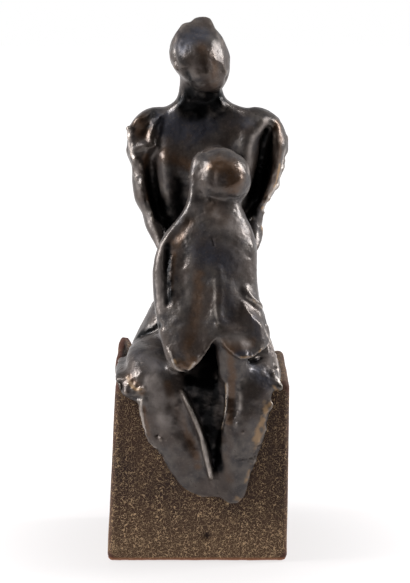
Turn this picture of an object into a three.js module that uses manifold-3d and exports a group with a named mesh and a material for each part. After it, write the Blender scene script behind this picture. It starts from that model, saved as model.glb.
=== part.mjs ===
// Mother and child: a seated figure group in slab-built stoneware on a plain block.
// Millimetres, +Z up. The front faces -Y. The origin is the centre of the block's underside.
import * as THREE from 'three';
import { mergeVertices } from 'three/addons/utils/BufferGeometryUtils.js';
import Module from 'manifold-3d';

const wasm = await Module();
wasm.setup();

// Driving dimensions
const HEIGHT = 400; // underside of the block to the topknot
const BLOCK_HEIGHT = 137;
const BLOCK_DEPTH = 118;
const BLOCK_BASE_WIDTH = 134;
const BLOCK_TOP_WIDTH = 128;
const BLOCK_LEAN = 4; // the top is this far to the right of the base
const BLOCK_ROUND = 4.5; // radius of its edges
const SEAT_GAP = 0.3; // the figures are luted to the block across this line

const FACE = -BLOCK_DEPTH / 2; // the block's front face
const SHIN_ROOT = FACE + 3; // a shin's slab runs this deep into the block, and is then trimmed to its face

// A smooth hump, 1 at 0 and nearly 0 past twice its width.
const hump = (x, width) => Math.exp(-((x / width) ** 2));

// 0 below the first value, 1 above the second, smooth between.
const rise = (x, from, to) => THREE.MathUtils.smoothstep(x, from, to);

// 1 between two values of x, easing to 0 outside them.
const band = (x, low, high, ease) => rise(x, low - ease, low) * (1 - rise(x, high, high + ease));

// A line through [x, value] pairs in rising x.
function through(pairs) {
  return (x) => {
    const next = pairs.findIndex(([at]) => at > x);
    if (next === 0) return pairs[0][1];
    if (next < 0) return pairs[pairs.length - 1][1];
    const [[x0, v0], [x1, v1]] = [pairs[next - 1], pairs[next]];
    return THREE.MathUtils.lerp(v0, v1, (x - x0) / (x1 - x0));
  };
}

const station = (x, y, z, wide, deep) => ({ at: [x, y, z], wide, deep });

// A closed form pulled from a sphere's skin: its rings follow the stations from first to last.
// A station gives a ring's centre, half width and half depth. square above 2 makes the rings boxier.
// Rings lie level, or square to the path when follow is set. dome rounds the two ends, and
// relief(point, out) raises the skin, both in mm.
function form(stations, { around, along, square = 2, follow = false, dome = 0, relief }) {
  const path = new THREE.CatmullRomCurve3(stations.map((s) => new THREE.Vector3(...s.at)));
  const sizes = new THREE.CatmullRomCurve3(stations.map((s) => new THREE.Vector3(s.wide, s.deep, 0)));
  const geometry = new THREE.SphereGeometry(1, around, along);
  const { position, uv } = geometry.attributes;
  const bulge = (value) => Math.sign(value) * Math.abs(value) ** (2 / square);
  for (let i = 0; i < position.count; i++) {
    const ring = Math.round((1 - uv.getY(i)) * along);
    const column = Math.round(uv.getX(i) * around) % around;
    const t = THREE.MathUtils.clamp((ring - 1) / (along - 2), 0, 1);
    const centre = path.getPoint(t);
    const size = sizes.getPoint(t);
    const tangent = path.getTangent(t);
    const side = new THREE.Vector3(1, 0, 0);
    const front = new THREE.Vector3(0, -1, 0);
    if (follow) {
      side.addScaledVector(tangent, -side.dot(tangent)).normalize();
      front.crossVectors(side, tangent).normalize();
    }
    if (ring === 0 || ring === along) {
      centre.addScaledVector(tangent, ring === 0 ? -dome : dome);
    } else {
      const angle = (2 * Math.PI * column) / around;
      const across = bulge(Math.cos(angle));
      const forward = bulge(Math.sin(angle));
      const out = side.clone().multiplyScalar(across / size.x).addScaledVector(front, forward / size.y);
      centre.addScaledVector(side, across * size.x).addScaledVector(front, forward * size.y);
      if (relief) centre.addScaledVector(out.normalize(), relief(centre, out));
    }
    position.setXYZ(i, centre.x, centre.y, centre.z);
  }
  return solid(geometry);
}

// A torn slab laid on the block's face: left(z) and right(z) are its edges and reach(x, z) is its
// height over the face.
function slab({ top, bottom, left, right, reach, across = 10, down = 18 }) {
  const box = new THREE.BoxGeometry(1, 1, 1, across, 1, down);
  const { position } = box.attributes;
  for (let i = 0; i < position.count; i++) {
    const z = THREE.MathUtils.lerp(bottom, top, position.getZ(i) + 0.5);
    const x = THREE.MathUtils.lerp(left(z), right(z), position.getX(i) + 0.5);
    const y = position.getY(i) > 0 ? SHIN_ROOT : FACE - reach(x, z);
    position.setXYZ(i, x, y, z);
  }
  return solid(box);
}

// A closed three.js geometry as a solid for joining and cutting, facing out whichever way it was wound.
function solid(geometry) {
  const bare = geometry.clone();
  bare.deleteAttribute('normal');
  bare.deleteAttribute('uv');
  const merged = mergeVertices(bare, 1e-4);
  const index = Array.from(merged.index.array);
  const vertProperties = merged.attributes.position.array;
  const make = (triVerts) =>
    new wasm.Manifold(new wasm.Mesh({ numProp: 3, vertProperties, triVerts: new Uint32Array(triVerts) }));
  const made = make(index);
  return made.volume() > 0 ? made : make(index.reverse());
}

// The block: flat faces and worn edges, leaning and flaring a little towards its base. grow makes
// the slightly larger block that the figures are cut by.
function block(grow = 0) {
  const size = new THREE.Vector3(BLOCK_BASE_WIDTH, BLOCK_DEPTH, BLOCK_HEIGHT);
  const half = size.multiplyScalar(0.5).addScalar(grow);
  const arc = BLOCK_ROUND * Math.tan(Math.PI / 8);
  // Six bays each way, so that two rows of points run round every edge and the faces stay flat.
  const place = (value, end) => {
    const bay = Math.abs(Math.round(value * 6));
    return Math.sign(value) * [0, end - BLOCK_ROUND, end - BLOCK_ROUND + arc, end][bay];
  };
  const box = new THREE.BoxGeometry(1, 1, 1, 6, 6, 6);
  const { position } = box.attributes;
  for (let i = 0; i < position.count; i++) {
    const p = new THREE.Vector3().fromBufferAttribute(position, i);
    p.set(place(p.x, half.x), place(p.y, half.y), place(p.z, half.z));
    const inner = half.clone().subScalar(BLOCK_ROUND);
    const core = p.clone().clamp(inner.clone().negate(), inner);
    p.sub(core).setLength(BLOCK_ROUND).add(core);
    const up = p.z / BLOCK_HEIGHT + 0.5;
    const taper = THREE.MathUtils.lerp(1, BLOCK_TOP_WIDTH / BLOCK_BASE_WIDTH, up);
    position.setXYZ(i, p.x * taper + BLOCK_LEAN * up, p.y, p.z + BLOCK_HEIGHT / 2);
  }
  return solid(box).add(lip(grow));
}

// A rough torn lip that stands up along the left edge of the seat, highest at the back.
function lip(grow) {
  const stations = [
    station(-59, -16, 133, 2.5, 4),
    station(-59.5, -2, 136, 3, 5),
    station(-59, 14, 137.5, 3.2, 6),
    station(-58.5, 30, 139, 3.5, 8),
    station(-57.5, 46, 140, 4, 10),
    station(-55, 54, 137, 4, 8),
  ].map(({ at, wide, deep }) => ({ at, wide: wide + grow, deep: deep + grow }));
  const relief = (p, out) => Math.max(0, out.z) * 0.9 * Math.sin(0.5 * p.y);
  return form(stations, { around: 10, along: 12, follow: true, square: 3, dome: 1 + grow, relief });
}

// How much a point of the skin faces front or back.
const toFront = (out) => Math.max(0, -out.y);
const toBack = (out) => Math.max(0, out.y);

// The wavering of a torn edge: mm to the side, along the height z.
const torn = (z, phase) => 1.1 * Math.sin(0.34 * z + phase) + 0.6 * Math.sin(0.71 * z + 2.3 * phase);

// The mother's trunk, from the seat up through the shoulders and neck into the head.
function trunk() {
  const stations = [
    station(3, 4, 130, 58, 46),
    station(3.5, 4, 145, 56, 44),
    station(4, 6, 160, 51, 38),
    station(5, 10, 174, 44, 31),
    station(5.5, 13, 190, 37, 24.5),
    station(5, 13, 210, 32, 22),
    station(4.5, 13, 235, 33, 21),
    station(5, 14, 260, 37, 22),
    station(5.5, 14, 285, 42, 23),
    station(6, 14, 305, 45, 22),
    station(6.5, 14, 320, 46, 18),
    station(6.5, 13, 329, 38, 15),
    station(4, 11, 335, 23, 14.5),
    station(3, 9, 342, 16.5, 14),
    station(2.7, 8, 354, 15.5, 14),
    station(2.7, 7, 366, 14, 13),
  ];
  const relief = (p, out) => {
    const rib = 3.5 * hump(p.x + 23, 5) * band(p.z, 262, 298, 14);
    const breast = 3 * hump(p.x - 38, 8) * band(p.z, 288, 318, 10);
    const belly = -5 * hump(p.x + 8, 10) * band(p.z, 238, 262, 16);
    const throat = -2.5 * hump(p.x - 2, 6) * band(p.z, 322, 334, 6);
    const crease = -3 * hump(p.z - 170 - 0.4 * (p.x + 30), 4) * band(p.x, -52, -22, 10);
    const spine = -2.6 * hump(p.x - 5, 5) * band(p.z, 175, 318, 15);
    const blades = 2.8 * (hump(p.x + 15, 10) + hump(p.x - 26, 10)) * band(p.z, 284, 308, 14);
    const cleft = -4 * hump(p.x - 3, 6) * band(p.z, 128, 156, 16);
    return toFront(out) * (rib + breast + belly + throat + crease) + toBack(out) * (spine + blades + cleft);
  };
  return form(stations, { around: 26, along: 22, square: 2.6, relief });
}

// The mother's head: an egg, bowed and turned a little to her left, its face only a few smooth planes.
function head() {
  const stations = [
    station(8.5, -4, 346, 9, 9),
    station(7.5, -3, 350, 13, 15),
    station(6, -0.5, 355.5, 17, 20.5),
    station(3.5, 2, 362, 21, 25),
    station(2, 4, 370, 22.9, 27),
    station(0.8, 5, 378, 21.8, 26),
    station(1, 6, 386, 17.5, 21),
    station(1.5, 6, 392, 11, 14),
    station(2, 6, 396, 5.5, 7),
  ];
  const relief = (p, out) => {
    const brow = 1.5 * hump(p.z - 373, 3.5) * hump(p.x - 6, 16);
    const nose = 2.6 * hump(p.x - 7, 3) * band(p.z, 356, 369, 4);
    const sockets = -2.4 * (hump(p.x + 2, 4.5) + hump(p.x - 16, 4.5)) * band(p.z, 363, 367, 4);
    return toFront(out) * (brow + nose + sockets);
  };
  return form(stations, { around: 22, along: 14, relief });
}

// A flat scrap of clay on the crown.
function topknot() {
  const stations = [
    station(4, 6, 391, 8, 8),
    station(4, 6, 396, 8, 7.5),
    station(4, 6, HEIGHT - 0.6, 6, 5.5),
  ];
  return form(stations, { around: 12, along: 5, dome: 0.6 });
}

// An upper arm and forearm as an open gutter of slab: an outer form less the hollow in front of it.
function arm(outer, hollow, phase) {
  const relief = (p, out) => Math.abs(out.x) * torn(p.z, phase) * band(p.z, 238, 318, 10);
  return form(outer, { around: 18, along: 16, square: 2.3, relief, dome: 2 })
    .subtract(form(hollow, { around: 14, along: 9 }));
}

function leftArm() {
  const outer = [
    station(-30, 14, 331, 7, 7),
    station(-34, 13, 325, 13.5, 12),
    station(-37, 13, 315, 15, 15),
    station(-37.5, 12, 302, 15.5, 16),
    station(-37.5, 10, 286, 12.5, 15),
    station(-36, 7, 266, 11, 14),
    station(-32, 1, 250, 9, 12),
    station(-27.5, -8, 236, 7, 9),
    station(-22, -18, 226, 6, 7),
    station(-18, -26, 219, 4, 5),
  ];
  const hollow = [
    station(-31, -16, 302, 6, 14),
    station(-33, -16, 292, 9, 20),
    station(-31, -15, 276, 9, 21),
    station(-28, -17, 260, 8, 19),
    station(-22, -22, 245, 6, 14),
    station(-18, -26, 236, 2, 6),
  ];
  return arm(outer, hollow, 1);
}

function rightArm() {
  const outer = [
    station(44, 14, 331.5, 7, 7),
    station(47, 13, 326, 13, 12),
    station(50, 13, 316, 16, 15),
    station(52, 12, 303, 16, 16),
    station(50.5, 10, 289, 14, 16),
    station(49, 8.5, 277, 13.5, 15),
    station(44.5, 6, 265, 11.5, 13.5),
    station(39.5, 2, 251, 9.8, 12),
    station(40.5, -6, 238, 8, 9),
    station(39, -16, 228, 7, 8),
    station(32, -24, 220, 4, 5),
  ];
  const hollow = [
    station(51, -8, 325, 3, 7),
    station(49, -12, 314, 9, 16),
    station(47, -13, 300, 13, 21),
    station(45, -13, 284, 13, 22),
    station(39, -14, 266, 10, 20),
    station(35, -18, 250, 7, 14),
    station(31, -22, 240, 2, 5),
  ];
  return arm(outer, hollow, 4);
}

// The child's head: a round ball with no features, its cheek turned to the mother's left.
function childHead() {
  const stations = [
    station(19, -25, 264, 12, 12),
    station(20, -27, 271, 17, 17),
    station(19.5, -29, 281, 20.5, 21),
    station(18.5, -29, 291, 20, 20),
    station(18, -28, 299, 15, 16),
    station(18, -27, 304.5, 7, 8),
  ];
  const relief = (p, out) => -1.5 * toFront(out) * hump(p.x - 22, 7) * hump(p.z - 284, 5);
  return form(stations, { around: 18, along: 10, dome: 0.6, relief });
}

// The hood behind the child's head.
function childHood() {
  const stations = [
    station(12, -24, 262, 18, 13),
    station(14, -21, 272, 20, 15),
    station(16, -18, 285, 22, 16),
    station(15, -17, 297, 17, 14),
    station(15, -18, 304.5, 8, 8),
  ];
  return form(stations, { around: 16, along: 7, dome: 0.6 });
}

// The hood's rolled edge, which runs from the crown past the shoulder down to the tip of the slab.
function childRoll() {
  const stations = [
    station(15, -26, 298, 4, 6),
    station(5, -28, 299, 6, 8),
    station(0, -31, 290, 6, 9),
    station(-0.5, -33, 276, 5.6, 9),
    station(-4, -35, 261, 5.6, 9),
    station(-13, -38, 249, 5, 8),
    station(-22.5, -42, 237, 4.8, 8),
    station(-27.5, -45, 220, 4.6, 9),
    station(-27.8, -48, 204, 4.4, 9),
    station(-25.5, -54, 186, 4.6, 9),
    station(-21.5, -62, 168, 4.6, 8),
    station(-16.5, -71, 149.5, 4, 6),
  ];
  return form(stations, { around: 10, along: 22, follow: true, square: 2.3, dome: 1.5 });
}

// The slab's torn hem, seen from the front: a tongue at the left, a notch, and a lobe at the right.
const HEM = [
  [-80, 140], [-24, 147], [-5, 148], [0, 153.5], [6, 161], [14, 173.5], [16.5, 175.5], [19.5, 167.5],
  [25.5, 162], [31, 158.5], [37, 158], [43, 160.5], [49, 164.5], [54, 171], [80, 172],
];
const HEM_FRONT = -100;
const HEM_BACK = -50;

function hemCutter() {
  const outline = new THREE.Shape([...HEM, [80, 100], [-80, 100]].map(([x, z]) => new THREE.Vector2(x, z)));
  const cutter = new THREE.ExtrudeGeometry(outline, { depth: HEM_BACK - HEM_FRONT, bevelEnabled: false });
  return solid(cutter.rotateX(Math.PI / 2).translate(0, HEM_BACK, 0));
}

// The child's body: one slab draped from the neck to the hem, swelling at the shoulders, hollow below.
function childBody() {
  const stations = [
    station(13, -28, 276, 15, 12),
    station(12.5, -30, 264, 19.5, 14),
    station(12, -31, 256, 24, 17),
    station(10.5, -34, 244, 31.5, 20),
    station(8, -37, 230, 36.5, 22),
    station(6.2, -40, 214, 38, 23),
    station(7, -45, 198, 38.5, 23),
    station(10.5, -51, 182, 40, 21),
    station(14, -58, 168, 40, 20),
    station(14.5, -64, 154, 36, 17),
    station(15, -68, 142, 33, 13),
  ];
  const keelLine = through([[160, 16], [196, 12.5], [222, 13], [250, 10]]);
  const foldLine = through([[176, 51], [191, 40], [206, 33], [225, 28]]);
  const relief = (p, out) => {
    const valley = -3.5 * hump(p.x + 21, 5) * band(p.z, 198, 236, 14);
    const keel = 3 * hump(p.x - keelLine(p.z), 5.5) * band(p.z, 182, 216, 14);
    const dip = -3 * hump(p.x - keelLine(p.z) + 14, 8) * band(p.z, 165, 212, 16);
    const plane = -1.6 * hump(p.x - keelLine(p.z) - 12, 9) * band(p.z, 178, 214, 14);
    const fold = -1.5 * hump(p.x - foldLine(p.z), 6) * band(p.z, 184, 214, 12);
    const lobe = 3 * hump(p.x - 31, 9) * band(p.z, 152, 176, 12);
    return toFront(out) * (valley + keel + dip + plane + fold + lobe);
  };
  const hollow = form([
    station(14, -58, 128, 30, 13),
    station(13, -56, 150, 30, 13),
    station(12, -52, 166, 28, 12),
    station(11, -47, 184, 18, 8),
  ], { around: 14, along: 6 });
  const body = form(stations, { around: 34, along: 18, square: 2.4, relief });
  return body.subtract(hollow).subtract(hemCutter());
}

// What sits on the lap behind the slab's hem.
function childSeat() {
  const stations = [
    station(8, -19, 226, 20, 13),
    station(7, -22, 206, 27, 19),
    station(7, -26, 186, 29, 21),
    station(8, -28, 166, 29, 20),
    station(8, -28, 150, 27, 18),
  ];
  return form(stations, { around: 14, along: 7, square: 2.3 });
}

// The fold that runs on from the slab's lobe, down over the lap to the inner side of the right knee.
function lapFold() {
  const stations = [
    station(27, -65, 171, 6, 9),
    station(28, -65, 160, 8.5, 10),
    station(29, -62, 149, 9, 10),
    station(29.5, -59, 138, 9, 10),
    station(30, -58, 126, 8, 8),
  ];
  return form(stations, { around: 10, along: 8, dome: 1 });
}

function leftThigh() {
  const stations = [
    station(-26, 12, 145, 20, 10),
    station(-28, -14, 148, 25, 14),
    station(-29, -40, 146, 24, 13.5),
    station(-28.5, -54, 139.5, 22.5, 13),
    station(-27.5, -60, 128, 19, 11),
    station(-26, -62, 116, 13, 7),
  ];
  return form(stations, { around: 16, along: 10, follow: true, square: 2.4 });
}

function rightThigh() {
  const stations = [
    station(37, 12, 143, 17, 10),
    station(39, -14, 145, 21, 13),
    station(40, -40, 143.5, 19.5, 13),
    station(39.5, -54, 137.5, 18, 12.5),
    station(38, -60, 126, 15, 10.5),
    station(36, -62, 114, 10, 7),
  ];
  return form(stations, { around: 16, along: 9, follow: true, square: 2.4 });
}

// A shin's slab sinks into the knee above it.
const sunk = (z) => 1 - 0.9 * rise(z, 114, 143);

// The left shin: a plane that dips to a groove and climbs to a sharp ridge along the inner side.
function leftShin() {
  const left = through([
    [50, 4], [53, -3], [58, -11.8], [64, -15.5], [71, -20], [80, -24.5], [85.5, -27.4], [89, -32],
    [94, -36.4], [100, -38], [107, -39.5], [119, -41.5], [134, -41], [142, -47],
  ]);
  const ridge = through([
    [50, 15.5], [62, 12.5], [68, 11.3], [78, 8.3], [93, 5.6], [105, 1.5], [120, -5], [134, -11.5],
    [150, -18],
  ]);
  const right = (z) => ridge(z) + 1.8;
  const reach = (x, z) => {
    const inner = x - ridge(z);
    const middle = (left(z) + right(z)) / 2;
    const swell = 6 * hump(x - middle, 16) * rise(z, 52, 90);
    const shin = (5.5 * hump(inner, 3.4) - 3 * hump(inner + 8, 4.5)) * rise(z, 50, 64);
    return (5 + swell + 3.5 * rise(z, 60, 125) + shin) * sunk(z);
  };
  return slab({ top: 147, bottom: 50.5, left, right, reach });
}

// The right shin: an inner edge, a groove beside it, then one plane that leans away to the outer edge.
function rightShin() {
  const left = through([
    [45, 25], [50.5, 16.5], [56, 14.5], [70, 14], [92, 16], [104, 18.3], [112, 20.5], [126, 21], [152, 20],
  ]);
  const right = through([
    [45, 29], [47.5, 34.5], [59, 37.6], [76, 41.9], [86, 45.9], [96, 49.5], [110, 51.5], [120, 54.6],
    [142, 57],
  ]);
  const reach = (x, z) => {
    const inner = x - left(z);
    const upper = rise(z, 98, 122);
    const plane = 6.5 * hump(inner - 14, 11) * rise(z, 50, 90);
    const edge = upper * (5 * hump(inner, 2.5) - 3 * hump(inner - 6, 3.5));
    return (5 + plane + 3 * rise(z, 60, 125) + edge) * sunk(z);
  };
  return slab({ top: 144.5, bottom: 45.5, left, right, reach });
}

// The slab that falls from the child's seat over the lap, and lines the valley between the shins.
function web() {
  const stations = [
    station(8, -38, 166, 20, 4),
    station(8, -47, 154, 22, 4),
    station(7.5, -54, 142, 22, 4),
    station(7.5, -57.5, 129, 21, 3.5),
    station(8, -58, 115, 17, 3.5),
    station(11, -58.5, 90, 10, 3.5),
    station(14, -59, 60, 4, 3.5),
  ];
  return form(stations, { around: 10, along: 10, follow: true, square: 3 });
}

// The skirt: a slab laid over the front of the seat, torn along its rim and open between the knees.
function skirt() {
  const stations = [
    station(-0.5, 30, 137, 57, 4.5),
    station(-0.5, 8, 138.5, 60, 5),
    station(-0.5, -16, 139, 61, 5),
    station(-0.5, -38, 139, 60.5, 5),
    station(-0.5, -55, 138, 60, 5),
    station(-0.5, -62, 132, 58, 4),
  ];
  const relief = (p, out) => Math.abs(out.x) * (1.1 * Math.sin(0.22 * p.y) + 0.8 * Math.sin(0.5 * p.y + 1));
  const valley = [
    station(7, -30, 147, 13, 6),
    station(7, -52, 146, 13.5, 6.5),
    station(7.5, -64, 141, 13, 7),
    station(8, -69, 132, 12, 8),
    station(9, -70, 120, 9, 8),
  ];
  return form(stations, { around: 22, along: 11, follow: true, square: 6, relief })
    .subtract(form(valley, { around: 14, along: 8, follow: true }));
}

// The fold over the right hip, from the waist to a tip at the corner of the seat.
function hipFold() {
  const stations = [
    station(30, 0, 202, 2.5, 4),
    station(34.5, -3, 191, 4.5, 7),
    station(40, -8, 179, 6, 9),
    station(46, -16, 166, 6.5, 11),
    station(51, -29, 153, 6.5, 10),
    station(56.5, -46, 142, 5, 7),
    station(60, -60, 132, 3, 4),
  ];
  return form(stations, { around: 10, along: 9, follow: true, square: 2.4, dome: 1.5 });
}

// Lumps and scraps of clay: a lip on the chest, a band and knobs on the left arm, torn lumps at the knee.
function scraps() {
  const chest = [
    station(-28, 1, 327, 1.6, 3.5),
    station(-32, -2, 319, 2, 4),
    station(-34, -3, 311, 2.2, 4),
    station(-32, -3, 305, 1.8, 3),
  ];
  const cuff = [
    station(-50, 4, 303, 3.5, 4),
    station(-45, 0, 302, 4, 4.5),
    station(-38, -3, 304, 4, 4.5),
    station(-31, -5, 306, 2.5, 3),
  ];
  const upperKnob = [
    station(-50, 5, 318, 3, 4),
    station(-49, 3, 313, 4, 5),
    station(-48.5, 3, 308, 3.2, 4),
  ];
  const lowerKnob = [
    station(-46.5, 0, 300, 4, 4),
    station(-45.5, -1, 295, 5, 5),
    station(-45, 0, 290, 3.6, 4),
  ];
  const knee = [
    station(-57, -58, 134, 3, 4),
    station(-52.5, -60.2, 130.6, 4.2, 5),
    station(-47, -61.3, 128.3, 5, 5.6),
    station(-41, -61.2, 127.7, 5, 5.4),
  ];
  return [chest, cuff, upperKnob, lowerKnob, knee]
    .map((row) => form(row, { around: 8, along: 5, follow: true, dome: 1.5 }));
}

const seat = block();
const pieces = [
  trunk(), head(), topknot(), leftArm(), rightArm(),
  childHead(), childHood(), childRoll(), childBody(), childSeat(),
  lapFold(), leftThigh(), rightThigh(), leftShin(), rightShin(), web(), skirt(), hipFold(), ...scraps(),
];
const figures = pieces.reduce((joined, piece) => joined.add(piece)).subtract(block(SEAT_GAP));

// A solid as a three.js mesh.
function mesh(name, made, material) {
  const { numProp, vertProperties, triVerts } = made.getMesh();
  const geometry = new THREE.BufferGeometry();
  geometry.setAttribute('position', new THREE.BufferAttribute(new Float32Array(vertProperties), numProp));
  geometry.setIndex(new THREE.BufferAttribute(new Uint32Array(triVerts), 1));
  geometry.computeVertexNormals();
  const built = new THREE.Mesh(geometry, material);
  built.name = name;
  return built;
}

const darkGlaze = new THREE.MeshStandardMaterial({ color: 0x3a3431, roughness: 0.3, metalness: 0.45 });
const mottledGlaze = new THREE.MeshStandardMaterial({ color: 0x5a4938, roughness: 0.7, metalness: 0 });

const sculpture = new THREE.Group();
sculpture.add(mesh('mother_and_child', figures, darkGlaze));
sculpture.add(mesh('seat_block', seat, mottledGlaze));

export default sculpture;
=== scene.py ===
import math
from itertools import product

import bpy
import numpy as np
from mathutils import Matrix, Vector
from mathutils.bvhtree import BVHTree


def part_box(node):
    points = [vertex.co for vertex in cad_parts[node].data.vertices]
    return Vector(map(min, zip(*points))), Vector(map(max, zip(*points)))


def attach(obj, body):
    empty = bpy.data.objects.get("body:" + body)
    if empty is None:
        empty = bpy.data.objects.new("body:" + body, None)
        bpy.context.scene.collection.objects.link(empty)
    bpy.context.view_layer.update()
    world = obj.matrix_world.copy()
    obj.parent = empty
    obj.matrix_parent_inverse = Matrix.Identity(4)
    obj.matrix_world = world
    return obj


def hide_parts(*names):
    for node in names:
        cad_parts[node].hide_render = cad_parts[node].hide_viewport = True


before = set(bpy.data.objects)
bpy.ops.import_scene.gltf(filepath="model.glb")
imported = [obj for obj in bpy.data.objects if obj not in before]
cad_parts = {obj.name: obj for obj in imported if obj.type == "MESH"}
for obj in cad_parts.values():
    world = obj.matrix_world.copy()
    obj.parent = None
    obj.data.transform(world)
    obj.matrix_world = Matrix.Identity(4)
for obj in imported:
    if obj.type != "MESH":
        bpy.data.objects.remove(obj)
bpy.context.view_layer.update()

MM = 0.001

# How finely the clay is meshed and worked
TRIANGLE_LIMIT = 196000  # of one piece
FIGURES_VOXEL = 1.05 * MM
BLOCK_VOXEL = 1.2 * MM
WELD = 0.01 * MM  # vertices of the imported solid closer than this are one
STROKE_STEP = 0.5 * MM  # between the points of a stroke
STROKE_REACH = 3  # half widths, past which a stroke is too weak to count
LONGEST_TAPER = 0.35  # of a stroke's length, at each end
GRAZING = 0.1  # clay that turns away from a stroke by a larger cosine than this is left alone
COIL_SINK = 0.8  # of its radius, how deep a coil is pressed into the clay
COIL_BALLS = 14

# Numbers that scramble a lattice cell into an even spread of values
CELL_KEYS = np.array((73856093, 19349663, 83492791))
SEED_KEY = 40503
MIX_KEY = 1274126177
WRAP = 2**31 - 1

# The photograph's view
FRAME_SIZE = (410, 583)  # pixels
FRAME_CENTRE = (205, 291.5)
PIXEL = 0.757 * MM  # what one pixel spans at the point that the camera aims at
AIM = Vector((5.9, 0, 194)) * MM
DISTANCE = 1500 * MM
TILT = math.radians(10)  # the camera looks down by this
LOOK = Vector((0, math.cos(TILT), -math.sin(TILT)))
UP = Vector((0, math.sin(TILT), math.cos(TILT)))
EYE = AIM - DISTANCE * LOOK
SENSOR = 36  # mm

# Studio, in metres: each softbox's place, width, height and power in watts
SOFTBOXES = {
    "left_softbox": ((-1.2, -0.2, 0.9), 0.35, 0.8, 33),
    "right_softbox": ((1.17, 0.15, 0.92), 0.4, 0.8, 26),
    "top_softbox": ((0, -0.1, 1.5), 0.8, 0.8, 2),
}
FLOOR_CENTRE = (0, 3.3, 0)
FLOOR_SIZE = (9, 8)
CONTACT_SHADE = (0.06, 0.27)  # radii between which the shade under the block fades out


# Shared maths

def smoothstep(value, low, high):
    """0 below low, 1 above high, smooth between."""
    t = np.clip((value - low) / (high - low), 0, 1)
    return t * t * (3 - 2 * t)


def lattice_noise(points, size, seed=0):
    """Smooth noise from -1 to 1 at each point, with features of about size, the same on every run."""
    place = points / size + 0.37 * seed  # each seed's lattice lies elsewhere
    cell = np.floor(place).astype(np.int64)
    part = place - cell
    fade = part * part * (3 - 2 * part)
    total = np.zeros(len(points))
    for corner in product((0, 1), repeat=3):
        key = (cell + corner) @ CELL_KEYS + seed * SEED_KEY
        key = (key ^ (key >> 13)) * MIX_KEY % WRAP
        value = ((key ^ (key >> 11)) & 0xFFFF) / 32767.5 - 1  # 16 bits, laid from -1 to 1
        total += value * np.prod(np.where(corner, fade, 1 - fade), axis=1)
    return total


def clay_noise(points, size, octaves=2, seed=0):
    """A few sizes of lattice noise, each half as large and half as strong as the one before."""
    total = sum(lattice_noise(points, size / 2**n, seed + 7 * n) / 2**n for n in range(octaves))
    return total / (2 - 2 ** (1 - octaves))


# Clay: a dense mesh with a position, a normal and some painted masks at each vertex

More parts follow.
